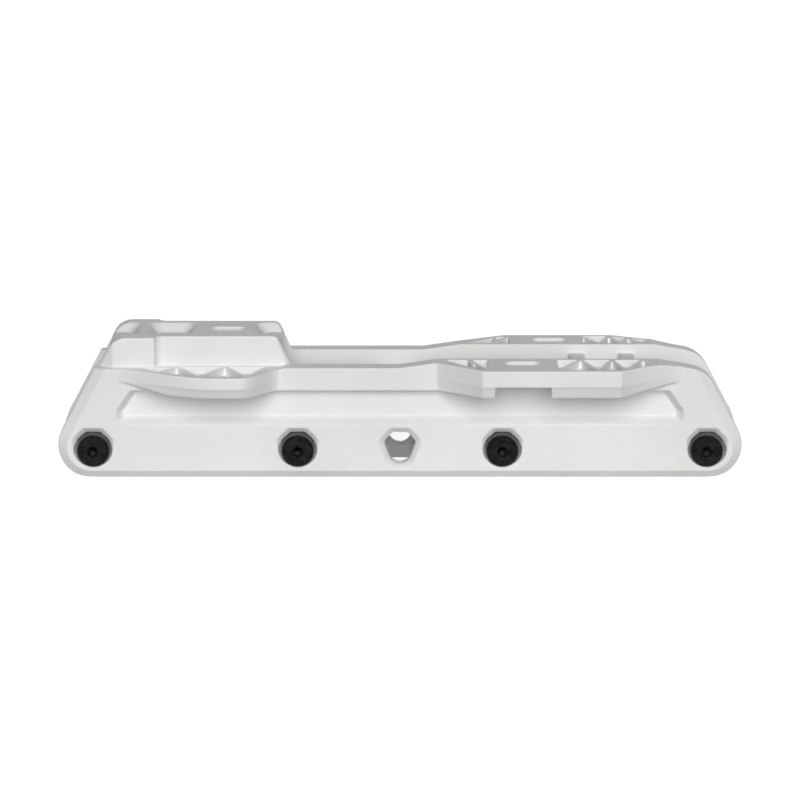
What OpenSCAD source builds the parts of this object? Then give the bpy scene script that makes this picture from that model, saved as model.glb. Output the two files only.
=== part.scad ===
// Inline skate frame for four wheels with a three-point boot mount, for the right foot.
// X runs to the toe, -Y is the outer side of the foot, Z is up from the bottom edge of the walls.

/* [Wheel layout] */
// Distance between neighbouring axles
axle_pitch = 81; // [80.5:0.5:84]
// Height of the axles above the bottom edge
axle_z = 11; // [10:0.5:11.5]
// Diameter of the wheels that the channel clears
wheel_d = 80; // [76:1:80]
// Free space round each wheel
wheel_room = 1.5; // [1:0.25:2]

/* [Side walls] */
// Width over the outer faces of both walls
walls_w = 41; // [40:0.5:43]
// Width of the wheel channel between the walls
channel_w = 25.6; // [25:0.2:26.4]
// Reach of the walls past the end axles
end_reach = 14; // [13:0.5:16]
// Radius of the lower corners of the walls
corner_r = 13; // [11:0.5:13]
// Slope of both ends from the level, in degrees
end_slope = 62; // [61:0.5:64]
// Width of the bevel round the outer edge of each wall
edge_bevel = 3.8; // [2.6:0.2:4]
// Depth of that bevel, across the wall
bevel_depth = 2.6; // [2:0.2:4]
// Height of that bevel along the bottom edge
bevel_low_h = 3.2; // [2:0.1:3.8]
// Height of the top of the rails that join heel and toe
rail_z = 45; // [44.6:0.2:46]
// Height of the outer band of the rails
rail_h = 9.2; // [7:0.2:10]

/* [Wall recess] */
// Height of the lower edge of the recess
recess_z = 22.2; // [21.4:0.2:23]
// Length of the recess along its lower edge
recess_l = 224; // [218:1:226]
// Length of the recess along its upper edge
recess_top_l = 213; // [206:1:216]
// Height where the ends of the recess start to lean in
recess_lean_z = 27.7; // [26.8:0.1:29]
// Depth of the recess in the outer face
recess_depth = 4.2; // [2.4:0.2:4.4]
// Slant of the recess sides, measured along the wall
recess_draft = 2.4; // [1:0.1:3.2]
// Radius of the lower corners of the recess
recess_r = 3.5; // [3.4:0.1:4.4]

/* [Cross bridges] */
// Height of the underside of the bridges
bridge_low_z = 31.7; // [28:0.5:33]
// Height of the top of the bridge at mid length
centre_bridge_z = 38; // [36:0.5:39]
// Length of the bridge at mid length
centre_bridge_l = 28; // [24:1:30]
// Height of the top of the bridge between the toe decks
toe_bridge_z = 43.5; // [41:0.5:44]
// Length of the bridge between the toe decks
toe_bridge_l = 26; // [24:1:30]
// Wall of the hollow in the bridge between the toe decks
toe_bridge_t = 6; // [5:0.5:7]
// Length of the web inside the heel
heel_web_l = 70; // [66:1:72]

/* [Toe decks] */
// Height of the toe decks
deck_z = 47.1; // [46.6:0.1:48]
// Height of the upright edge of the toe decks
deck_edge_h = 6.6; // [5.5:0.2:7.5]
// Reach of the outer deck from the middle of the frame
outer_deck_w = 35.6; // [34:0.2:36.4]
// Reach of the inner deck from the middle of the frame
inner_deck_w = 30.3; // [30:0.2:33]
// Where the outer deck has grown to its full reach
outer_deck_x = 32.3; // [30:0.5:34]
// Where the inner deck has grown to its full reach
inner_deck_x = 42; // [40:0.5:44]
// Length over which a deck grows out of its rail
deck_flare_l = 17.8; // [15:0.5:20]
// Where both decks start to narrow to the toe
deck_narrow_x = 86.3; // [84:0.5:89]
// Length over which the decks narrow to the wall
deck_narrow_l = 27; // [22:0.5:29]
// How far the underside of a deck climbs over that length
deck_climb_h = 4; // [3:0.2:4.6]
// Length over which the rail top climbs to the deck
ramp_l = 14.5; // [10:0.5:18]
// Where the deck top starts to fall to the toe
nose_x = 102; // [100:0.5:103]
// Fall of the deck top from there, in degrees
nose_fall = 10; // [5:0.5:12]
// Radius that rounds the nose into the sloping end
nose_r = 12; // [8:0.5:13]
// How much the skirts below the decks and flanges draw in on their way down, as a share of their reach
skirt_lean = 0.11; // [0.06:0.01:0.16]

/* [Heel] */
// Height of the top of the heel block
heel_z = 56.5; // [56:0.1:60]
// Half width of the heel block
heel_w = 14.6; // [14.4:0.1:16]
// Half width of the rear lobe of the heel block
heel_lobe_w = 17.9; // [16.8:0.1:19.5]
// Where the rear lobe steps in to the block
heel_step_x = -95; // [-98:0.5:-94]
// Where the rear corners of the lobe start to turn in
lobe_corner_x = -113.3; // [-115:0.1:-111]
// How far they turn, in degrees
lobe_corner_turn = 35; // [25:1:40]
// Radius of the upper rear edge of the heel block
heel_rear_r = 8; // [5:0.5:9]
// How far the rear of the heel block is set in from the sloping end
heel_rear_in = 1.4; // [0.6:0.1:2]
// Where the top of the heel block ends, towards the toe
heel_front_x = -50.5; // [-53.5:0.5:-50]
// Lean of the front of the heel block from top to foot
heel_front_lean = 4.5; // [4:0.5:6]
// Radius of the upper front edge of the heel block
heel_front_r = 3; // [1:0.5:4]
// Bevel of the front edges of the heel block
heel_front_bevel = 1.7; // [1:0.1:1.7]
// Height of the top of the heel flanges
flange_z = 44.5; // [43.5:0.1:44.6]
// Height of the upright edge of the heel flanges
flange_edge_h = 4.8; // [4:0.2:5.4]
// Reach of the heel flanges from the middle of the frame
flange_w = 36.5; // [36.4:0.1:38]
// Front end of the full width of the flanges
flange_front_x = -63; // [-65:0.5:-61]
// Rear end of the full width of the flanges
flange_rear_x = -70; // [-74:0.5:-68]
// Length over which a flange narrows to the wall at its front
flange_front_l = 17; // [15:0.5:18]
// Length over which a flange narrows to the wall at its rear
flange_rear_l = 46; // [42:0.5:47]
// Where the underside of a flange starts to climb to its rear
flange_climb_x = -91; // [-94:0.5:-88]
// How far it climbs
flange_climb_h = 4.6; // [3:0.2:5]

/* [Boot bolt slots] */
// Length of each slot
slot_l = 14; // [12:0.5:16]
// Width of each slot
slot_w = 6.5; // [6.2:0.1:6.8]
// Distance of the toe slots from the middle of the frame
slot_y = 21.3; // [21.1:0.1:22]
// Place of the slot in the outer toe deck
outer_slot_x = 48.2; // [47:0.2:50]
// Place of the slot in the inner toe deck
inner_slot_x = 60.5; // [58:0.2:62]
// Place of the slot in the heel
heel_slot_x = -68.3; // [-70:0.2:-67]
// Room for a bolt head past each end of a toe slot
toe_room_end = 5; // [4:0.5:6]
// How much narrower that room is at the edge of the deck
toe_room_taper = 1.2; // [0:0.2:2]
// Depth of that room behind the middle of the slot
toe_room_back = 5.3; // [4.5:0.1:5.5]
// Width of the room for a bolt head below the heel slot
heel_room_w = 14; // [12:0.5:16]
// Thickness left above the room for a bolt head in the heel
heel_seat_t = 6; // [5:0.5:7]

/* [Lightening pockets] */
// Depth of the pockets in the decks and flanges
pocket_depth = 3; // [2:0.25:3.4]
// Width of the ribs between pockets
rib_w = 1.4; // [1.2:0.1:2.2]
// Width of the rim round the pockets
rim_w = 1.8; // [1.6:0.1:2.4]
// Solid length left in front of a toe slot
slot_land = 6; // [5:0.5:7]
// Depth of the hollows in the top of the heel block
hollow_depth = 3.4; // [2.4:0.1:3.6]
// Slant of the sides of the hollows, measured along the top
hollow_draft = 3.6; // [2:0.2:4]
// Radius of the corners at the floor of the hollows
hollow_r = 3; // [2:0.25:3.5]
// Width of the rim beside the hollows
hollow_rim_w = 3.4; // [2.6:0.2:4.4]
// Middle of the rib between the two rear hollows
hollow_rib_x = -102; // [-104:0.5:-101]
// Width of that rib
hollow_rib_w = 3; // [2:0.2:4]
// Solid length left behind the heel slot
heel_land_rear = 6.4; // [5:0.1:10]
// Solid length left in front of the heel slot
heel_land_front = 3.3; // [3:0.1:4.5]

/* [Axle openings] */
// Half width of the pick-shaped opening
pick_w = 6.1; // [6:0.1:6.4]
// Height above the axle where the opening is widest
pick_side_z = 3; // [2.6:0.1:3.2]
// Radius of the sides of the opening there
pick_side_r = 2.4; // [2:0.1:3]
// Reach of the opening above the axle
pick_top = 7.5; // [7.2:0.1:7.8]
// Half width of the flat top of the opening
pick_flat_w = 2.4; // [2:0.1:3]
// Reach of the opening below the axle
pick_bottom = 5.4; // [5.2:0.1:5.6]
// Radius of the upper corners of the opening
pick_corner_r = 1.2; // [0.8:0.1:1.6]
// Radius of the lower end of the opening
pick_end_r = 4.5; // [4:0.1:5]
// Bevel where the opening meets the outer face
pick_bevel = 2.2; // [1.4:0.1:2.4]
// Depth of a bush seat below the outer face
seat_depth = 4; // [3.6:0.1:4.4]
// Width to which a bush seat widens at the outer face
seat_flare_w = 15.6; // [14.4:0.2:16]
// Height to which a bush seat widens at the outer face
seat_flare_h = 14.2; // [14:0.1:14.6]

/* [Axles] */
// Diameter of the axle barrel that carries the bearings
axle_d = 8; // [7:0.1:8.2]
// Distance between the bearing faces of facing bushes
bearing_span = 24.1; // [24:0.1:24.6]
// Diameter of the round flange of a bush
bush_flange_d = 13.4; // [13.1:0.1:13.8]
// Thickness of that flange
bush_flange_t = 1.2; // [0.8:0.1:1.4]
// Diameter of the axle heads
head_d = 12.3; // [11.5:0.1:12.5]
// Thickness of the axle heads
head_t = 3.2; // [2.8:0.1:3.8]
// Chamfer round the rim of the axle heads
head_chamfer = 0.6; // [0.3:0.1:0.8]
// Outside diameter of the bolt thread
bolt_d = 5; // [4:0.1:5.2]
// Length of the bolt below its head
bolt_l = 17; // [14:0.5:20]
// Spare depth of the threaded hole past the bolt
thread_spare = 2; // [1:0.5:4]
// Width across the flats of the hex sockets
socket_af = 4; // [3:0.1:5]
// Depth of the hex sockets
socket_depth = 2.2; // [1.8:0.1:2.4]
// Radial clearance of the running and push fits
fit_gap = 0.05; // [0.03:0.01:0.08]
// Gap that the barrel end keeps from the bolt head
clamp_gap = 0.5; // [0.3:0.1:1]
// Clearance below an axle head in its seat
head_gap = 0.1; // [0.05:0.01:0.2]

/* [Hidden] */
axle_numbers = [1, 2, 3, 4];

$fn = 64;
body_colour = [0.90, 0.90, 0.89];
axle_colour = [0.10, 0.10, 0.11];
bush_colour = [0.40, 0.40, 0.41];
over = 1;
arc_steps = 8;
flange_steps = 16;

wall_y = walls_w / 2;
channel_y = channel_w / 2;
recess_y = wall_y - recess_depth;
seat_y = wall_y - seat_depth;
head_y = seat_y + bush_flange_t;
seat_d = bush_flange_d + 2 * fit_gap;
bush_flange_rise = (seat_d - head_d) / 2 - head_gap;
axle_span = (len(axle_numbers) - 1) * axle_pitch;
end_x = axle_span / 2 + end_reach;
corner_x = end_x - corner_r;
rail_low_z = rail_z - rail_h;
deck_low_z = deck_z - deck_edge_h;
flange_low_z = flange_z - flange_edge_h;
wheel_clear_r = wheel_d / 2 + wheel_room;
heel_foot_x = heel_front_x + heel_front_r + heel_front_lean;
flange_tip_x = flange_front_x + flange_front_l;
flange_tail_x = flange_rear_x - flange_rear_l;
// How far the skirts lap into their plates, and the share of the plate that they have grown to there
skirt_lap = 0.2;
skirt_crown = 0.99;
// Where the curved outlines of decks and flanges end, inside the wall
root_y = wall_y - over / 2;
// Power of the curve along which the toe decks narrow
narrow_power = 1.5;
// Power of the curve along which the heel flanges narrow
flange_power = 1.1;
// Rib ends on a heel flange, by turns at the block and at the rim, in shares of its length from the rear
flange_ribs = [0.2, 0.31, 0.4, 0.54, 0.67, 0.8, 0.91];
// Rib ends on a toe deck behind its slot, by turns at the channel and at the rim, in shares of the flare
rear_deck_ribs = [0.13, 0.8, 0.73, 1.13, 1.17];
// Rib ends on a toe deck in front of its slot, in the same way, in shares of the stretch to the nose
front_deck_ribs = [0, 0, 0.25, 0.4, 0.55, 0.66, 0.85, 0.95];

function axle_x(i) = (i - 1) * axle_pitch - axle_span / 2;

function arc(centre, r, from, to) =
    [for (k = [0:arc_steps]) let(a = from + (to - from) * k / arc_steps) centre + r * [cos(a), sin(a)]];

function flipped(points) = [for (k = [len(points) - 1:-1:0]) [-points[k][0], points[k][1]]];

// Distance of the sloping end from the middle at height z, moved in by inset
function end_at(z, inset = 0) =
    corner_x + (corner_r - inset) * sin(end_slope)
    - (z - corner_r - (corner_r - inset) * cos(end_slope)) / tan(end_slope);

// Outline of a wall seen from the side, up to height top, moved in by inset at its ends and up to low
function side_outline(inset, low, top) =
    let(toe = concat(
        arc([corner_x, corner_r - inset + low], corner_r - inset, -90, 90 - end_slope),
        [[end_at(top, inset), top]]))
    concat(toe, flipped(toe));

// Outline of the recess, moved in by inset on its two ends and its lower edge
function recess_outline(inset) =
    let(
        lean = atan2(rail_low_z - recess_lean_z, (recess_l - recess_top_l) / 2),
        toe = concat(
            arc([recess_l / 2 - recess_r, recess_z + recess_r], recess_r - inset, -90, 0),
            [
                [recess_l / 2 - inset, recess_lean_z - inset * tan(45 - lean / 2)],
                [recess_top_l / 2 - inset / sin(lean), rail_low_z]
            ]))
    concat(toe, flipped(toe));

// Direction that the line touching two circles faces, with the second circle above the first
function touch_angle(a, a_r, b, b_r) =
    let(run = b - a)
    atan2(run[1], run[0]) - 90 + asin((a_r - b_r) / norm(run));

// Pick-shaped opening seen square to the wall, round an axle at the origin, grown by grow on all sides
function pick_outline(grow) =
    let(
        low = [0, pick_end_r - pick_bottom],
        side = [pick_w - pick_side_r, pick_side_z],
        top = [pick_flat_w, pick_top - pick_corner_r],
        low_turn = touch_angle(low, pick_end_r, side, pick_side_r),
        top_turn = touch_angle(side, pick_side_r, top, pick_corner_r),
        right = concat(
            arc(low, pick_end_r + grow, -90, low_turn),
            arc(side, pick_side_r + grow, low_turn, top_turn),
            arc(top, pick_corner_r + grow, top_turn, 90)))
    concat(right, flipped(right));

// Rectangle with round corners, round the origin
function rounded_outline(length, width, r) =
    let(right = concat(
        arc([length / 2 - r, r - width / 2], r, -90, 0),
        arc([length / 2 - r, width / 2 - r], r, 0, 90)))
    concat(right, flipped(right));

// Triangle moved in by inset on each side
function inset_triangle(t, inset) =
    let(
        a = norm(t[1] - t[2]),
        b = norm(t[2] - t[0]),
        c = norm(t[0] - t[1]),
        middle = (a * t[0] + b * t[1] + c * t[2]) / (a + b + c),
        area = abs(cross(t[1] - t[0], t[2] - t[0])) / 2,
        share = 1 - inset * (a + b + c) / (2 * area))
    [for (p = t) middle + (p - middle) * share];

// Solid between two places across the frame, from an outline seen from the side
module across(y0, y1) {
    translate([0, y1, 0])
        rotate([90, 0, 0])
            linear_extrude(height = y1 - y0)
                children();
}

// Solid between two heights, from an outline seen from above
module upright(z0, z1) {
    translate([0, 0, z0])
        linear_extrude(height = z1 - z0)
            children();
}

// Puts what is drawn for the inner (+Y) side on the outer side instead
module outer_side() {
    mirror([0, 1, 0])
        children();
}

module both_sides() {
    children();
    outer_side()
        children();
}

module slot_outline(length, width) {
    square([length - width, width], center = true);
    for (s = [-1, 1])
        translate([s * (length - width) / 2, 0])
            circle(d = width);
}

// Triangular pockets between the ribs of a zigzag of points
module truss_pockets(zigzag, top) {
    for (k = [0:len(zigzag) - 3])
        upright(top - pocket_depth, top + over)
            polygon(inset_triangle([zigzag[k], zigzag[k + 1], zigzag[k + 2]], rib_w / 2));
}

// Both walls in one block with a bevelled outer edge, before the channel is cut. The top is at the decks near
// the toe, at the rails between decks and heel, and at the flanges in the heel.
module wall_block() {
    difference() {
        hull() {
            across(-wall_y + bevel_depth, wall_y - bevel_depth)
                polygon(side_outline(0, 0, deck_z));
            across(-wall_y, wall_y)
                polygon(side_outline(edge_bevel, bevel_low_h, deck_z));
        }
        across(-wall_y - over, wall_y + over)
            polygon([
                [deck_narrow_x, deck_z + over],
                [deck_narrow_x, rail_z],
                [flange_tip_x, rail_z],
                [flange_tip_x, flange_z],
                [-end_x, flange_z],
                [-end_x, deck_z + over]
            ]);
    }
}

// Shallow recess with slanted sides in the outer face of a wall
module wall_recess() {
    hull() {
        across(recess_y, wall_y + over)
            polygon(recess_outline(recess_draft));
        across(wall_y, wall_y + over)
            polygon(recess_outline(0));
    }
}

module side_walls() {
    difference() {
        wall_block();
        translate([-end_x - over, -channel_y, -over])
            cube([2 * (end_x + over), channel_w, deck_z + 2 * over]);
        both_sides()
            wall_recess();
    }
}

// Skirt below a deck or flange, drawing in from inside its plate down to the lower edge of the rails
module skirt(plan, low_z) {
    foot = 1 - skirt_lean;
    translate([0, recess_y, rail_low_z])
        linear_extrude(height = low_z + skirt_lap - rail_low_z, scale = [1, skirt_crown / foot], slices = 1)
            polygon([for (p = plan) [p[0], (p[1] - recess_y) * foot]]);
}

// Cut below a skirt on the inner side, whose underside climbs by height h from place x0 to place x1
module climb_cut(x0, x1, h) {
    past_x = x1 + sign(x1 - x0) * over;
    across(recess_y, flange_w + over)
        polygon([
            [x0, rail_low_z],
            [x1, rail_low_z + h],
            [past_x, rail_low_z + h],
            [past_x, rail_low_z - over],
            [x0, rail_low_z - over]
        ]);
}

// Reach of a deck at place x, past the start of its flare
function deck_reach(reach, full_x, x) =
    let(
        short = max(0, full_x - x) / deck_flare_l,
        late = max(0, x - deck_narrow_x) / deck_narrow_l)
    root_y + (reach - root_y) * (1 - short) * pow(1 - late, narrow_power);

// Plan of a toe deck, from its rail to where it has narrowed to the wall
function deck_plan(reach, full_x) = concat(
    [
        [full_x - deck_flare_l, channel_y],
        [full_x - deck_flare_l, wall_y],
        [full_x, reach]
    ],
    [for (k = [0:arc_steps])
        let(x = deck_narrow_x + deck_narrow_l * k / arc_steps) [x, deck_reach(reach, full_x, x)]],
    [[deck_narrow_x + deck_narrow_l, channel_y]]
);

// Toe deck on the inner side: plate, skirt and the climbing top of the rail
module toe_deck(reach, full_x) {
    flare_x = full_x - deck_flare_l;
    upright(deck_low_z, deck_z)
        polygon(deck_plan(reach, full_x));
    difference() {
        skirt(deck_plan(reach, full_x), deck_low_z);
        climb_cut(deck_narrow_x, deck_narrow_x + deck_narrow_l, deck_climb_h);
    }
    across(channel_y, wall_y)
        polygon([
            [flare_x - ramp_l, rail_z],
            [flare_x - ramp_l, rail_low_z],
            [flare_x + over, rail_low_z],
            [flare_x + over, deck_z],
            [flare_x, deck_z]
        ]);
}

// Room for a bolt head below the slot of a toe deck, let into the wall with a leaning back
module toe_room(reach, slot_x) {
    room = slot_l / 2 + toe_room_end;
    low_z = rail_low_z - over;
    back_y = slot_y - toe_room_back;
    edge_y = reach + over;
    intersection() {
        upright(low_z, deck_low_z)
            polygon([
                [slot_x - room, back_y],
                [slot_x + room, back_y],
                [slot_x + room - toe_room_taper, edge_y],
                [slot_x - room + toe_room_taper, edge_y]
            ]);
        translate([slot_x - room, 0, 0])
            rotate([90, 0, 90])
                linear_extrude(height = 2 * room)
                    polygon([
                        [recess_y, low_z],
                        [edge_y, low_z],
                        [edge_y, deck_low_z],
                        [back_y, deck_low_z],
                        [back_y, rail_low_z]
                    ]);
    }
}

// Fall of the deck tops and the nose that rounds them into the sloping end
module nose_cut() {
    share = tan(nose_fall) / tan(end_slope);
    inner_z = deck_z - nose_r / cos(nose_fall);
    centre_x = (end_at(inner_z, nose_r) - nose_x * share) / (1 - share);
    centre = [centre_x, inner_z - (centre_x - nose_x) * tan(nose_fall)];
    round_end = arc(centre, nose_r, 90 - nose_fall, 90 - end_slope);
    across(-outer_deck_w - over, outer_deck_w + over)
        polygon(concat(
            [[nose_x, deck_z]],
            round_end,
            [
                [end_x, round_end[arc_steps][1]],
                [end_x, deck_z + over],
                [nose_x, deck_z + over]
            ]));
}

// Reach of a heel flange at place x: it narrows along a curve to its tip and to its tail
function flange_reach(x) =
    let(
        front = max(0, x - flange_front_x) / flange_front_l,
        rear = max(0, flange_rear_x - x) / flange_rear_l)
    root_y + (flange_w - root_y) * (1 + cos(180 * pow(max(front, rear), flange_power))) / 2;

function flange_edge(start, length) =
    [for (k = [0:flange_steps]) let(x = start + length * k / flange_steps) [x, flange_reach(x)]];

// Plan of a heel flange on the inner side, from its tip at the rail to its tail
function flange_plan() = concat(
    [[flange_tail_x, channel_y]],
    flange_edge(flange_tail_x, flange_rear_l),
    flange_edge(flange_front_x, flange_front_l),
    [[flange_tip_x, channel_y]]
);

module heel_flange() {
    difference() {
        union() {
            upright(flange_low_z, flange_z)
                polygon(flange_plan());
            skirt(flange_plan(), flange_low_z);
        }
        climb_cut(flange_climb_x, flange_tail_x, flange_climb_h);
    }
}

// Plan of the heel block, with the wider lobe at the rear and a fillet where it steps in
function heel_plan() =
    let(
        step = heel_lobe_w - heel_w,
        half = concat(
            [
                [-end_x, heel_lobe_w - (end_x + lobe_corner_x) * tan(lobe_corner_turn)],
                [lobe_corner_x, heel_lobe_w],
                [heel_step_x - step / 2, heel_lobe_w]
            ],
            arc([heel_step_x + step / 2, heel_lobe_w], step, 180, 270),
            [[0, heel_w]]))
    concat(half, [for (k = [len(half) - 1:-1:0]) [half[k][0], -half[k][1]]]);

// Cut that bevels the front edge of the heel block on the inner side, along the lean of its front
module heel_front_cut(lean) {
    translate([heel_foot_x, heel_w, flange_z])
        rotate([0, -lean, 0])
            rotate([0, 0, 45])
                translate([-heel_front_bevel * cos(45), -heel_z, -heel_z])
                    cube(2 * heel_z);
}

// Raised heel block, sloping down at both ends
module heel_block() {
    front_angle = atan2(heel_front_lean, heel_z - flange_z);
    rear_z = heel_z - heel_rear_r;
    rear_centre = [-end_at(rear_z, heel_rear_r + heel_rear_in), rear_z];
    difference() {
        intersection() {
            upright(flange_low_z, heel_z)
                polygon(heel_plan());
            across(-heel_lobe_w, heel_lobe_w)
                polygon(concat(
                    [
                        [-end_at(flange_low_z, heel_rear_in), flange_low_z],
                        [heel_foot_x, flange_low_z],
                        [heel_foot_x, flange_z]
                    ],
                    arc([heel_front_x, heel_z - heel_front_r], heel_front_r, front_angle, 90),
                    arc(rear_centre, heel_rear_r, 90, 90 + end_slope)));
        }
        both_sides()
            heel_front_cut(front_angle);
    }
}

// Web inside the heel, and the two bridges that tie the walls together between the wheels
module cross_bridges() {
    bridge_y = channel_y + over;
    translate([-axle_pitch - heel_web_l / 2, -bridge_y, bridge_low_z])
        cube([heel_web_l, 2 * bridge_y, flange_z - bridge_low_z]);
    translate([-centre_bridge_l / 2, -bridge_y, bridge_low_z])
        cube([centre_bridge_l, 2 * bridge_y, centre_bridge_z - bridge_low_z]);
    translate([axle_pitch - toe_bridge_l / 2, -bridge_y, bridge_low_z])
        difference() {
            cube([toe_bridge_l, 2 * bridge_y, toe_bridge_z - bridge_low_z]);
            translate([toe_bridge_t, over, toe_bridge_t])
                cube([toe_bridge_l - 2 * toe_bridge_t, channel_w, toe_bridge_z]);
        }
}

// Room for the wheels in the channel
module wheel_wells() {
    for (i = axle_numbers)
        translate([axle_x(i), channel_y, axle_z])
            rotate([90, 0, 0])
                cylinder(r = wheel_clear_r, h = channel_w, $fn = 128);
}

// Pick-shaped opening in the inner wall, with a bevel that widens to past the outer face
module wall_opening(x) {
    bevel_over = pick_bevel / 4;
    grown = pick_bevel + bevel_over;
    translate([x, 0, axle_z]) {
        across(0, wall_y + over)
            polygon(pick_outline(0));
        translate([0, wall_y - pick_bevel, 0])
            rotate([-90, 0, 0])
                mirror([0, 1, 0])
                    linear_extrude(
                        height = grown,
                        scale = [1 + grown / pick_w, 1 + grown / pick_top],
                        slices = 1,
                        $fn = 8)
                        polygon(pick_outline(0));
    }
}

// Round seat for a bush flange in the inner wall, widening upwards and to the sides to past the outer face
module bush_seat(x) {
    stretch = (seat_depth + over) / seat_depth;
    growth = ([seat_flare_w, seat_flare_h] / seat_d - [1, 1]) * stretch;
    translate([x, seat_y, axle_z + bush_flange_rise - seat_d / 2])
        rotate([-90, 0, 0])
            mirror([0, 1, 0])
                linear_extrude(height = seat_depth + over, scale = [1, 1] + growth, slices = 1)
                    translate([0, seat_d / 2])
                        circle(d = seat_d, $fn = 48);
}

module boot_slot(x, y, low, top) {
    translate([x, y, 0])
        upright(low, top + over)
            slot_outline(slot_l, slot_w);
}

// Half width of the heel block or its lobe at place x
function heel_side(x) = x < heel_step_x ? heel_lobe_w : heel_w;

function flange_zigzag() =
    [for (k = [0:len(flange_ribs) - 1])
        let(x = flange_tail_x + (flange_tip_x - flange_tail_x) * flange_ribs[k])
        [x, k % 2 == 0 ? heel_side(x) + rim_w / 2 : flange_reach(x) - rim_w]];

// Zigzag of ribs on a toe deck, over a stretch of it
function deck_zigzag(ribs, start, length, reach, full_x) =
    [for (k = [0:len(ribs) - 1])
        let(x = start + length * ribs[k])
        [x, k % 2 == 0 ? channel_y + rim_w : deck_reach(reach, full_x, x) - rim_w]];

module deck_pockets(reach, full_x, slot_x) {
    land_x = slot_x + slot_l / 2 + slot_land;
    truss_pockets(deck_zigzag(rear_deck_ribs, full_x - deck_flare_l, deck_flare_l, reach, full_x), deck_z);
    truss_pockets(deck_zigzag(front_deck_ribs, land_x, nose_x - land_x, reach, full_x), deck_z);
}

// Hollow with slanted sides in the top of the heel block, between two places along it
module heel_hollow(x0, x1) {
    floor_l = x1 - x0 - 2 * hollow_draft;
    floor_w = 2 * (heel_w - hollow_rim_w - hollow_draft);
    growth = 2 * hollow_draft * (hollow_depth + over) / hollow_depth;
    translate([(x0 + x1) / 2, 0, heel_z - hollow_depth])
        linear_extrude(
            height = hollow_depth + over,
            scale = [1 + growth / floor_l, 1 + growth / floor_w],
            slices = 1)
            polygon(rounded_outline(floor_l, floor_w, hollow_r));
}

// Three hollows in the top of the heel: open to the rear, behind the slot, and open to the front
module heel_hollows() {
    heel_hollow(-end_x, hollow_rib_x - hollow_rib_w / 2);
    heel_hollow(hollow_rib_x + hollow_rib_w / 2, heel_slot_x - slot_l / 2 - heel_land_rear);
    heel_hollow(heel_slot_x + slot_l / 2 + heel_land_front, heel_foot_x + 2 * hollow_draft);
}

module frame_body() {
    color(body_colour)
        difference() {
            union() {
                side_walls();
                both_sides()
                    heel_flange();
                heel_block();
                cross_bridges();
                toe_deck(inner_deck_w, inner_deck_x);
                outer_side()
                    toe_deck(outer_deck_w, outer_deck_x);
            }
            wheel_wells();
            nose_cut();
            both_sides() {
                for (i = axle_numbers) {
                    wall_opening(axle_x(i));
                    bush_seat(axle_x(i));
                }
                wall_opening(0);
                truss_pockets(flange_zigzag(), flange_z);
            }
            heel_hollows();
            boot_slot(heel_slot_x, 0, 0, heel_z);
            translate([heel_slot_x, 0, 0])
                upright(0, heel_z - heel_seat_t)
                    slot_outline(slot_l + heel_room_w - slot_w, heel_room_w);
            boot_slot(inner_slot_x, slot_y, deck_low_z - over, deck_z);
            toe_room(inner_deck_w, inner_slot_x);
            deck_pockets(inner_deck_w, inner_deck_x, inner_slot_x);
            outer_side() {
                boot_slot(outer_slot_x, slot_y, deck_low_z - over, deck_z);
                toe_room(outer_deck_w, outer_slot_x);
                deck_pockets(outer_deck_w, outer_deck_x, outer_slot_x);
            }
        }
}

// Round head with a chamfered rim and a hex socket, seated at height 0
module axle_head() {
    difference() {
        union() {
            cylinder(d = head_d, h = head_t - head_chamfer);
            translate([0, 0, head_t - head_chamfer])
                cylinder(d1 = head_d, d2 = head_d - 2 * head_chamfer, h = head_chamfer);
        }
        translate([0, 0, head_t - socket_depth])
            cylinder(d = socket_af / cos(30), h = socket_depth + over, $fn = 6);
    }
}

// Male half of a two-piece axle, with its head on the outer side
module axle_bolt(i) {
    color(axle_colour)
        translate([axle_x(i), -head_y, axle_z])
            rotate([90, 0, 0]) {
                axle_head();
                translate([0, 0, -bolt_l])
                    cylinder(d = bolt_d, h = bolt_l);
            }
}

// Female half of a two-piece axle: the barrel that the bearings sit on, with its head on the inner side
module axle_barrel(i) {
    barrel_l = 2 * head_y - clamp_gap;
    color(axle_colour)
        translate([axle_x(i), head_y, axle_z])
            rotate([-90, 0, 0]) {
                axle_head();
                translate([0, 0, -barrel_l])
                    difference() {
                        cylinder(d = axle_d, h = barrel_l);
                        translate([0, 0, -over])
                            cylinder(d = bolt_d + 2 * fit_gap, h = bolt_l + thread_spare + over);
                    }
            }
}

// Pick-shaped bush in the inner wall, with a round flange below the axle head and a bored hole for the barrel
module axle_bush(i) {
    color(bush_colour)
        translate([axle_x(i), 0, axle_z])
            difference() {
                union() {
                    across(bearing_span / 2, seat_y)
                        polygon(pick_outline(-fit_gap));
                    across(seat_y, head_y)
                        translate([0, bush_flange_rise])
                            circle(d = bush_flange_d);
                }
                rotate([-90, 0, 0])
                    cylinder(d = axle_d + 2 * fit_gap, h = wall_y + over);
            }
}

frame_body();
for (i = axle_numbers) {
    axle_bolt(i);
    axle_barrel(i);
    outer_side() axle_bush(i);
    axle_bush(i);
}
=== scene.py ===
import math

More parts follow.
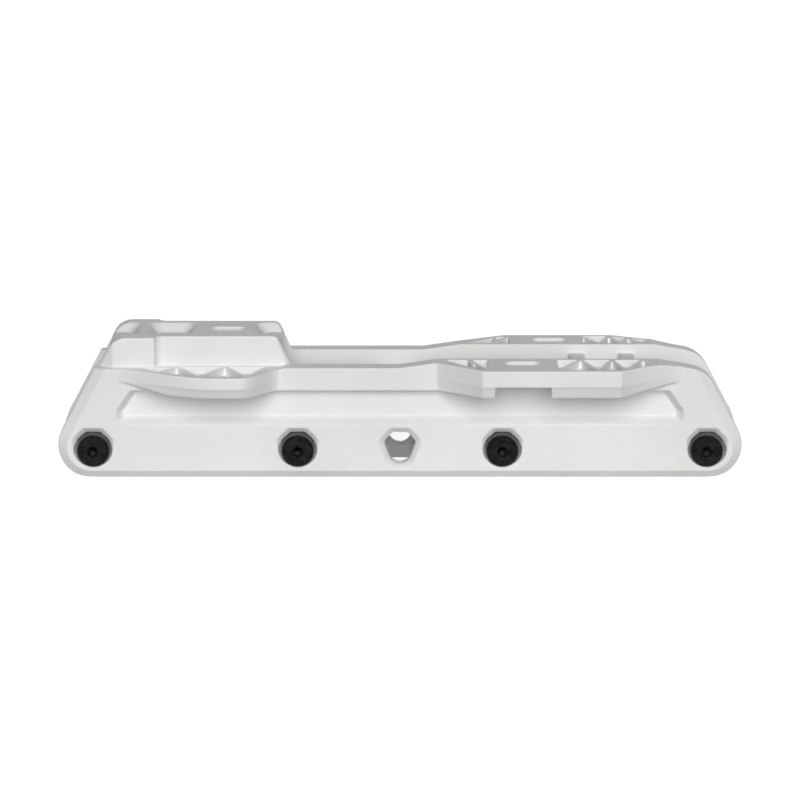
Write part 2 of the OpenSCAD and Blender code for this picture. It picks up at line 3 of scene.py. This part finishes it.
import bmesh
import bpy
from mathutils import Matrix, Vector


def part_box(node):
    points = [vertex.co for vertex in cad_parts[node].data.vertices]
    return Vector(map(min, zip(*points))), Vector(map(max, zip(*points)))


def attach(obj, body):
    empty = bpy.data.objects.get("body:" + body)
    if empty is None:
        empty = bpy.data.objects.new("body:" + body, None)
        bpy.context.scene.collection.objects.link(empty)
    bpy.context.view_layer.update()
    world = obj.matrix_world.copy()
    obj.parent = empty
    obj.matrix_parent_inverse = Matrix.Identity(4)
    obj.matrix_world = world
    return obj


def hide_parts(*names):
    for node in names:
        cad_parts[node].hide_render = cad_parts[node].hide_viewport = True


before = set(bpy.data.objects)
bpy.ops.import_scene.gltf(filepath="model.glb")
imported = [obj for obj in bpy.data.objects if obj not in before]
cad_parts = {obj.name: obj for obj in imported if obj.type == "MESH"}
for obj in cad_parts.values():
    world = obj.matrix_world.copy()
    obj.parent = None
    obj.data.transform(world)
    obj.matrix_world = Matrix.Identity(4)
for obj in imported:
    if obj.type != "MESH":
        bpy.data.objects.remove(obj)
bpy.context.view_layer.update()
scene = bpy.context.scene


# Frame body: one injection moulding in white glass-filled nylon, walls, decks, heel block and bridges
# in one piece. The mould leaves a small radius on every outer edge and a fillet in every inner corner.
WELD_GAP = 0.000001
SKIN_VOXEL = 0.00032
RADIUS_PASSES = 8
SKIN_KEEP = 0.085
NYLON_TINTS = ((0.3, "#E6E6E4"), (0.7, "#EDEDEC"))
CLOUD_SIZE = 0.030
GRAIN_SIZE = 0.0007
GRAIN_DEPTH = 0.00005


def linear(code):
    """Linear colour with alpha of an sRGB hex value."""
    parts = [int(code[k:k + 2], 16) / 255 for k in (1, 3, 5)]
    return [c / 12.92 if c <= 0.04045 else ((c + 0.055) / 1.055) ** 2.4 for c in parts] + [1.0]


def add(tree, kind, settings=None, **inputs):
    """Adds a node. Its inputs, by name with _ for spaces or as i and a number, take a value or a socket."""
    node = tree.nodes.new(kind)
    for key, value in (settings or {}).items():
        setattr(node, key, value)
    for key, value in inputs.items():
        numbered = key[0] == "i" and key[1:].isdigit()
        socket = node.inputs[int(key[1:]) if numbered else key.replace("_", " ")]
        if isinstance(value, bpy.types.NodeSocket):
            tree.links.new(value, socket)
        else:
            socket.default_value = value
    return node


def new_material(name):
    """Empty node material with its output node."""
    material = bpy.data.materials.new(name)
    material.use_nodes = True
    material.node_tree.nodes.clear()
    return material, material.node_tree, add(material.node_tree, "ShaderNodeOutputMaterial")


def baked(piece):
    """Turns a piece's live modifiers into its plain mesh."""
    evaluated = piece.evaluated_get(bpy.context.evaluated_depsgraph_get())
    mesh = bpy.data.meshes.new_from_object(evaluated)
    piece.modifiers.clear()
    piece.data = mesh


def moulded_nylon():
    """Glass-filled nylon, moulded white: even and milky, with the dull grain of a spark-eroded mould."""
    material, tree, output = new_material("white_glass_filled_nylon")
    place = add(tree, "ShaderNodeTexCoord").outputs["Object"]
    # Faint clouding where the melt cooled at different rates
    cloud = add(tree, "ShaderNodeTexNoise", Vector=place, Scale=1 / CLOUD_SIZE, Detail=2.0)
    tint = add(tree, "ShaderNodeValToRGB", Fac=cloud.outputs["Fac"])
    for stop, (position, code) in zip(tint.color_ramp.elements, NYLON_TINTS):
        stop.position = position
        stop.color = linear(code)
    # Mould grain is near 0.1 mm. It is drawn coarser so that it shows
    grain = add(tree, "ShaderNodeTexNoise", Vector=place, Scale=1 / GRAIN_SIZE, Detail=3.0)
    dull = add(tree, "ShaderNodeMapRange", Value=grain.outputs["Fac"], To_Min=0.5, To_Max=0.62)
    relief = add(
        tree, "ShaderNodeBump", Height=grain.outputs["Fac"], Strength=0.12, Distance=GRAIN_DEPTH)
    surface = add(
        tree, "ShaderNodeBsdfPrincipled", Base_Color=tint.outputs["Color"],
        Roughness=dull.outputs["Result"], Normal=relief.outputs["Normal"], IOR=1.5,
        Specular_IOR_Level=0.35)
    tree.links.new(surface.outputs["BSDF"], output.inputs["Surface"])
    return material


body_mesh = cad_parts["frame_body"].data.copy()
welded = bmesh.new()
welded.from_mesh(body_mesh)
bmesh.ops.remove_doubles(welded, verts=welded.verts, dist=WELD_GAP)
welded.to_mesh(body_mesh)
welded.free()
body = bpy.data.objects.new("moulded_body", body_mesh)
scene.collection.objects.link(body)
skin = body.modifiers.new("even_skin", "REMESH")
skin.mode = "VOXEL"
skin.voxel_size = SKIN_VOXEL
skin.use_smooth_shade = True
radii = body.modifiers.new("mould_radii", "SMOOTH")
radii.factor = 0.5
radii.iterations = RADIUS_PASSES
thin = body.modifiers.new("fewer_faces", "DECIMATE")
thin.ratio = SKIN_KEEP
flats = body.modifiers.new("flat_faces", "WEIGHTED_NORMAL")
flats.weight = 60
baked(body)
body.data.materials.clear()
body.data.materials.append(moulded_nylon())
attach(body, "frame")
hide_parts("frame_body")


# Axle bushes: small blocks that fill the pick-shaped openings from the outer side and carry the axles, each
# with a round flange below the axle head. They are aluminium, tumbled and anodised grey: satin and dark.
AXLES = (1, 2, 3, 4)
BUSH_TINTS = ((0.35, "#4A4B4D"), (0.65, "#5E6062"))
PIT_SIZE = 0.0004
PIT_DEPTH = 0.00003


def grey_anodised_aluminium():
    """Tumbled aluminium anodised grey: dark, soft sheen, and fine pits without direction."""
    material, tree, output = new_material("grey_anodised_aluminium")
    place = add(tree, "ShaderNodeTexCoord").outputs["Object"]
    # Pits left by the tumbling grit
    pits = add(tree, "ShaderNodeTexNoise", Vector=place, Scale=1 / PIT_SIZE, Detail=2.0)
    tint = add(tree, "ShaderNodeValToRGB", Fac=pits.outputs["Fac"])
    for stop, (position, code) in zip(tint.color_ramp.elements, BUSH_TINTS):
        stop.position = position
        stop.color = linear(code)
    dull = add(tree, "ShaderNodeMapRange", Value=pits.outputs["Fac"], To_Min=0.36, To_Max=0.5)
    relief = add(tree, "ShaderNodeBump", Height=pits.outputs["Fac"], Strength=0.2, Distance=PIT_DEPTH)
    surface = add(
        tree, "ShaderNodeBsdfPrincipled", Base_Color=tint.outputs["Color"], Metallic=1.0,
        Roughness=dull.outputs["Result"], Normal=relief.outputs["Normal"])
    tree.links.new(surface.outputs["BSDF"], output.inputs["Surface"])
    return material


bush_metal = grey_anodised_aluminium()
for side in ("near_bush", "far_bush"):
    for number in AXLES:
        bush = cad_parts[f"{side}_{number}"]
        bush.data.materials.clear()
        bush.data.materials.append(bush_metal)


# Axles: two-piece turned steel axles with a black oxide finish. A bolt with a hex socket goes in from the
# outer side and screws into a barrel, headed the same way, which comes through from the inner side.
HEAD_T = 0.0032
HEAD_CHAMFER = 0.0006
SOCKET_AF = 0.004
SOCKET_DEPTH = 0.0022
SOCKET_TURNS = {"axle_bolt": (14, 37, 52, 5), "axle_barrel": (40, 9, 25, 56)}
DRILL_R = 0.0018
DRILL_POINT = 0.00095
DRILL_LAP = 0.00005
BOLT_R = 0.0025
BARREL_R = 0.004
SHANK_CHAMFER = 0.0005
SHANK_LAP = 0.0002
BORE_R = 0.00255
BORE_DEPTH = 0.019
THREAD_PITCH = 0.0008
THREAD_DEPTH = 0.0004
THREAD_TURNS = 14
THREAD_FROM_END = 0.001
EDGE_BREAK = 0.00012
SHARP_ANGLE = math.radians(40)
STEEL_TINTS = ((0.35, "#161617"), (0.7, "#232325"))
LATHE_PITCH = 0.0008
LATHE_DEPTH = 0.00002
BLOOM_SIZE = 0.0022


def axle_half_tree():
    """Half of a two-piece axle along Z: head above its seat at 0, shank with a chamfered end below it."""
    tree = bpy.data.node_groups.new("axle_half", "GeometryNodeTree")
    face = tree.interface
    for name in ("Head radius", "Head thickness", "Head chamfer", "Socket radius", "Socket depth",
                 "Socket turn", "Drill radius", "Drill point", "Drill lap", "Shank radius", "Shank length",
                 "Shank chamfer", "Shank lap", "Bore radius", "Bore depth", "Thread depth", "Thread pitch",
                 "Thread turns", "Thread from end", "Facing"):
        face.new_socket(name, in_out="INPUT", socket_type="NodeSocketFloat")
    face.new_socket("Seat", in_out="INPUT", socket_type="NodeSocketVector")
    face.new_socket("Material", in_out="INPUT", socket_type="NodeSocketMaterial")
    face.new_socket("Geometry", in_out="OUTPUT", socket_type="NodeSocketGeometry")
    size = add(tree, "NodeGroupInput").outputs

    def worked(operation, a, b):
        """Size worked out from two others."""
        return add(tree, "ShaderNodeMath", {"operation": operation}, i0=a, i1=b).outputs[0]

    def moved(shape, height, turn=(0, 0, 0)):
        """Shape lifted to a height, after a turn."""
        up = add(tree, "ShaderNodeCombineXYZ", Z=height).outputs[0]
        return add(tree, "GeometryNodeTransform", Geometry=shape, Translation=up, Rotation=turn).outputs[0]

    def ring(radius, height):
        """Circle of points at a height, as one edge of a turned shape."""
        return moved(add(tree, "GeometryNodeMeshCircle", Vertices=64, Radius=radius).outputs[0], height)

    def joined(*shapes):
        """Shapes put together as they are."""
        node = add(tree, "GeometryNodeJoinGeometry")
        for shape in shapes:
            tree.links.new(shape, node.inputs[0])
        return node.outputs[0]

    def turned(*rings):
        """Solid turned through its edges."""
        return add(tree, "GeometryNodeConvexHull", Geometry=joined(*rings)).outputs[0]

    def boolean(operation, first, *others):
        """First shape with the others cut out of it or fused to it."""
        node = add(tree, "GeometryNodeMeshBoolean", {"operation": operation, "solver": "EXACT"})
        tree.links.new(first, node.inputs["Mesh 1" if operation == "DIFFERENCE" else "Mesh 2"])
        for other in others:
            tree.links.new(other, node.inputs["Mesh 2"])
        return node.outputs["Mesh"]

    def if_any(amount, shape):
        """Shape where an amount is above nought, and nothing elsewhere."""
        some = add(tree, "FunctionNodeCompare", {"operation": "GREATER_THAN"}, i0=amount, i1=0.0)
        return add(tree, "GeometryNodeSwitch", Switch=some.outputs[0], i2=shape).outputs[0]

    head = turned(
        ring(size["Head radius"], 0.0),
        ring(size["Head radius"], worked("SUBTRACT", size["Head thickness"], size["Head chamfer"])),
        ring(worked("SUBTRACT", size["Head radius"], size["Head chamfer"]), size["Head thickness"]))
    # The socket is drilled first, so its floor keeps the cone of the drill's point
    hexagon = add(
        tree, "GeometryNodeMeshCylinder", Vertices=6, Radius=size["Socket radius"],
        Depth=worked("MULTIPLY", size["Socket depth"], 2.0)).outputs["Mesh"]
    spin = add(tree, "ShaderNodeCombineXYZ", Z=size["Socket turn"]).outputs[0]
    cone = add(
        tree, "GeometryNodeMeshCone", Vertices=48, Radius_Top=0.0, Radius_Bottom=size["Drill radius"],
        Depth=size["Drill point"]).outputs["Mesh"]
    socket_floor = worked("SUBTRACT", size["Head thickness"], size["Socket depth"])
    head = boolean(
        "DIFFERENCE", head,
        moved(hexagon, size["Head thickness"], spin),
        moved(cone, worked("ADD", socket_floor, size["Drill lap"]), (math.pi, 0, 0)))

    end = worked("SUBTRACT", 0.0, size["Shank length"])
    shank = turned(
        ring(size["Shank radius"], size["Shank lap"]),
        ring(size["Shank radius"], worked("ADD", end, size["Shank chamfer"])),
        ring(worked("SUBTRACT", size["Shank radius"], size["Shank chamfer"]), end))
    bore = add(
        tree, "GeometryNodeMeshCylinder", Vertices=48, Radius=size["Bore radius"],
        Depth=worked("MULTIPLY", size["Bore depth"], 2.0)).outputs["Mesh"]
    shank = boolean("DIFFERENCE", shank, if_any(size["Bore depth"], moved(bore, end)))
    half = boolean("UNION", head, shank)

    helix = add(
        tree, "GeometryNodeCurveSpiral", Resolution=32, Rotations=size["Thread turns"],
        Start_Radius=size["Shank radius"], End_Radius=size["Shank radius"],
        Height=worked("MULTIPLY", size["Thread turns"], size["Thread pitch"]))
    crest = add(tree, "GeometryNodeCurvePrimitiveCircle", Resolution=3, Radius=size["Thread depth"])
    thread = add(
        tree, "GeometryNodeCurveToMesh", Curve=helix.outputs[0], Profile_Curve=crest.outputs[0],
        Fill_Caps=True).outputs[0]
    thread = if_any(size["Thread turns"], moved(thread, worked("ADD", end, size["Thread from end"])))

    face_out = add(tree, "ShaderNodeCombineXYZ", X=size["Facing"])
    placed = add(
        tree, "GeometryNodeTransform", Geometry=joined(thread, half), Translation=size["Seat"],
        Rotation=face_out.outputs[0])
    whole = add(tree, "GeometryNodeRealizeInstances", Geometry=placed.outputs[0])
    finish = add(tree, "GeometryNodeSetMaterial", Geometry=whole.outputs[0], Material=size["Material"])
    add(tree, "NodeGroupOutput", Geometry=finish.outputs[0])
    return tree


def centre(node):
    """Middle of a CAD node's box."""
    low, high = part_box(node)
    return (low + high) / 2


def black_oxide_steel():
    """Turned steel after black oxide: almost black, a soft oily sheen, faint rings left by the lathe."""
    material, tree, output = new_material("black_oxide_steel")
    place = add(tree, "ShaderNodeTexCoord").outputs["Object"]
    # Lathe marks run round each axle. They are near 0.1 mm apart, drawn coarser so that they show
    first = centre("axle_bolt_1")
    pitch = centre("axle_bolt_2").x - first.x
    parts = add(tree, "ShaderNodeSeparateXYZ", Vector=place)
    along = add(
        tree, "ShaderNodeMath", {"operation": "WRAP"}, i0=parts.outputs["X"],
        i1=first.x + pitch / 2, i2=first.x - pitch / 2)
    centred = add(tree, "ShaderNodeMath", {"operation": "SUBTRACT"}, i0=along.outputs[0], i1=first.x)
    above = add(tree, "ShaderNodeMath", {"operation": "SUBTRACT"}, i0=parts.outputs["Z"], i1=first.z)
    round_axle = add(tree, "ShaderNodeCombineXYZ", X=centred.outputs[0], Z=above.outputs[0])
    wave_length = math.tau / 20  # Distance between the texture's rings at a scale of 1
    lathe = add(
        tree, "ShaderNodeTexWave", {"wave_type": "RINGS", "rings_direction": "Y"},
        Vector=round_axle.outputs[0], Scale=wave_length / LATHE_PITCH, Distortion=0.4)
    # The oxide takes in soft patches
    bloom = add(tree, "ShaderNodeTexNoise", Vector=place, Scale=1 / BLOOM_SIZE, Detail=3.0)
    tint = add(tree, "ShaderNodeValToRGB", Fac=bloom.outputs["Fac"])
    for stop, (position, code) in zip(tint.color_ramp.elements, STEEL_TINTS):
        stop.position = position
        stop.color = linear(code)
    dull = add(tree, "ShaderNodeMapRange", Value=bloom.outputs["Fac"], To_Min=0.32, To_Max=0.48)
    relief = add(
        tree, "ShaderNodeBump", Height=lathe.outputs["Fac"], Strength=0.15, Distance=LATHE_DEPTH)
    surface = add(
        tree, "ShaderNodeBsdfPrincipled", Base_Color=tint.outputs["Color"], Metallic=1.0,
        Roughness=dull.outputs["Result"], Normal=relief.outputs["Normal"])
    tree.links.new(surface.outputs["BSDF"], output.inputs["Surface"])
    return material


axle_tree = axle_half_tree()
axle_steel = black_oxide_steel()
for part, outward in (("axle_bolt", -1), ("axle_barrel", 1)):
    for number in AXLES:
        node = f"{part}_{number}"
        low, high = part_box(node)
        middle = centre(node)
        top_y = low.y if outward < 0 else high.y
        bolt = part == "axle_bolt"
        sizes = {
            "Head radius": (high.x - low.x) / 2,
            "Head thickness": HEAD_T,
            "Head chamfer": HEAD_CHAMFER,
            "Socket radius": SOCKET_AF / 2 / math.cos(math.pi / 6),
            "Socket depth": SOCKET_DEPTH,
            "Socket turn": math.radians(SOCKET_TURNS[part][number - 1]),
            "Drill radius": DRILL_R,
            "Drill point": DRILL_POINT,
            "Drill lap": DRILL_LAP,
            "Shank radius": BOLT_R - THREAD_DEPTH if bolt else BARREL_R,
            "Shank length": (high.y - low.y) - HEAD_T,
            "Shank chamfer": SHANK_CHAMFER,
            "Shank lap": SHANK_LAP,
            "Bore radius": BORE_R,
            "Bore depth": 0.0 if bolt else BORE_DEPTH,
            "Thread depth": THREAD_DEPTH,
            "Thread pitch": THREAD_PITCH,
            "Thread turns": float(THREAD_TURNS) if bolt else 0.0,
            "Thread from end": THREAD_FROM_END,
            "Seat": (middle.x, top_y - outward * HEAD_T, middle.z),
            "Facing": math.radians(-90 * outward),
            "Material": axle_steel,
        }
        axle = bpy.data.objects.new(f"turned_{node}", bpy.data.meshes.new(f"turned_{node}"))
        scene.collection.objects.link(axle)
        modifier = axle.modifiers.new("axle_half", "NODES")
        modifier.node_group = axle_tree
        for socket in axle_tree.interface.items_tree:
            if socket.in_out == "INPUT":
                modifier[socket.identifier] = sizes[socket.name]
        edges = axle.modifiers.new("broken_edges", "BEVEL")
        edges.width = EDGE_BREAK
        edges.segments = 2
        edges.limit_method = "ANGLE"
        edges.angle_limit = SHARP_ANGLE
        baked(axle)
        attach(axle, f"{part.split('_')[1]}_{number}")
        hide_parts(node)


# Floor, light and camera of a plain white product picture. Each lamp has its level, and its spread, turn from
# the camera's side and height in degrees: a wide soft one close to the camera's own direction, and a low one
# behind the object that only fills, without highlights. The pale floor reads as white and keeps the shadow.
FLOOR_COLOUR = "#C0C0C0"
FLOOR_LIFT = 0.84
FLOOR_SIDE = 6
FLOOR_BACK = 10
SKY_LEVEL = 0.05
LAMPS = {"front_softbox": (0.815, 44, 3, 26), "rear_fill": (0.6, 12, 176, 4)}
CAMERA_PLACE = Vector((0, -1.310, 0.345))
CAMERA_AIM = Vector((0, 0, 0.0271))
LENS_MM = 151.5
SENSOR_MM = 36


def seen_rays(tree):
    """1 for what the camera sees, directly, in a reflection or through glass, and 0 for what only lights."""
    path = add(tree, "ShaderNodeLightPath").outputs
    seen = path["Is Camera Ray"]
    for kind in ("Is Glossy Ray", "Is Transmission Ray"):
        seen = add(tree, "ShaderNodeMath", {"operation": "MAXIMUM"}, i0=seen, i1=path[kind]).outputs[0]
    return seen


def pale_floor():
    """Matt studio floor. The camera and reflections see it lifted to white, with the shadow kept."""
    material, tree, output = new_material("matt_studio_floor")
    matt = add(tree, "ShaderNodeBsdfDiffuse", Color=linear(FLOOR_COLOUR))
    level = add(tree, "ShaderNodeMath", {"operation": "MULTIPLY"}, i0=seen_rays(tree), i1=FLOOR_LIFT)
    lift = add(tree, "ShaderNodeEmission", Strength=level.outputs[0])
    both = add(tree, "ShaderNodeAddShader", i0=matt.outputs[0], i1=lift.outputs[0])
    tree.links.new(both.outputs[0], output.inputs["Surface"])
    return material


floor_mesh = bpy.data.meshes.new("studio_floor")
floor_corners = [
    (-FLOOR_SIDE, -FLOOR_SIDE, 0), (FLOOR_SIDE, -FLOOR_SIDE, 0),
    (FLOOR_SIDE, FLOOR_BACK, 0), (-FLOOR_SIDE, FLOOR_BACK, 0)]
floor_mesh.from_pydata(floor_corners, [], [(0, 1, 2, 3)])
floor = bpy.data.objects.new("studio_floor", floor_mesh)
floor.data.materials.append(pale_floor())
scene.collection.objects.link(floor)

world = bpy.data.worlds.new("white_studio")
scene.world = world
world.use_nodes = True
sky = world.node_tree
sky.nodes.clear()
level = add(sky, "ShaderNodeMapRange", Value=seen_rays(sky), To_Min=SKY_LEVEL, To_Max=1.0)
glow = add(sky, "ShaderNodeBackground", Strength=level.outputs[0])
add(sky, "ShaderNodeOutputWorld", Surface=glow.outputs[0])

for name, (strength, spread, turn, height) in LAMPS.items():
    lamp = bpy.data.lights.new(name, "SUN")
    lamp.energy = strength * math.pi
    lamp.angle = math.radians(spread)
    lamp_object = bpy.data.objects.new(name, lamp)
    turn, height = math.radians(turn), math.radians(height)
    lamp_from = Vector((math.sin(turn), -math.cos(turn), math.tan(height)))
    lamp_object.rotation_euler = lamp_from.to_track_quat("Z", "Y").to_euler()
    lamp_object.visible_glossy = name != "rear_fill"
    scene.collection.objects.link(lamp_object)

camera = bpy.data.cameras.new("catalogue_camera")
camera.sensor_width = SENSOR_MM
camera.lens = LENS_MM
camera_object = bpy.data.objects.new("catalogue_camera", camera)
camera_object.location = CAMERA_PLACE
camera_object.rotation_euler = (CAMERA_AIM - CAMERA_PLACE).to_track_quat("-Z", "Y").to_euler()
scene.collection.objects.link(camera_object)
scene.camera = camera_object
scene.view_settings.view_transform = "Standard"
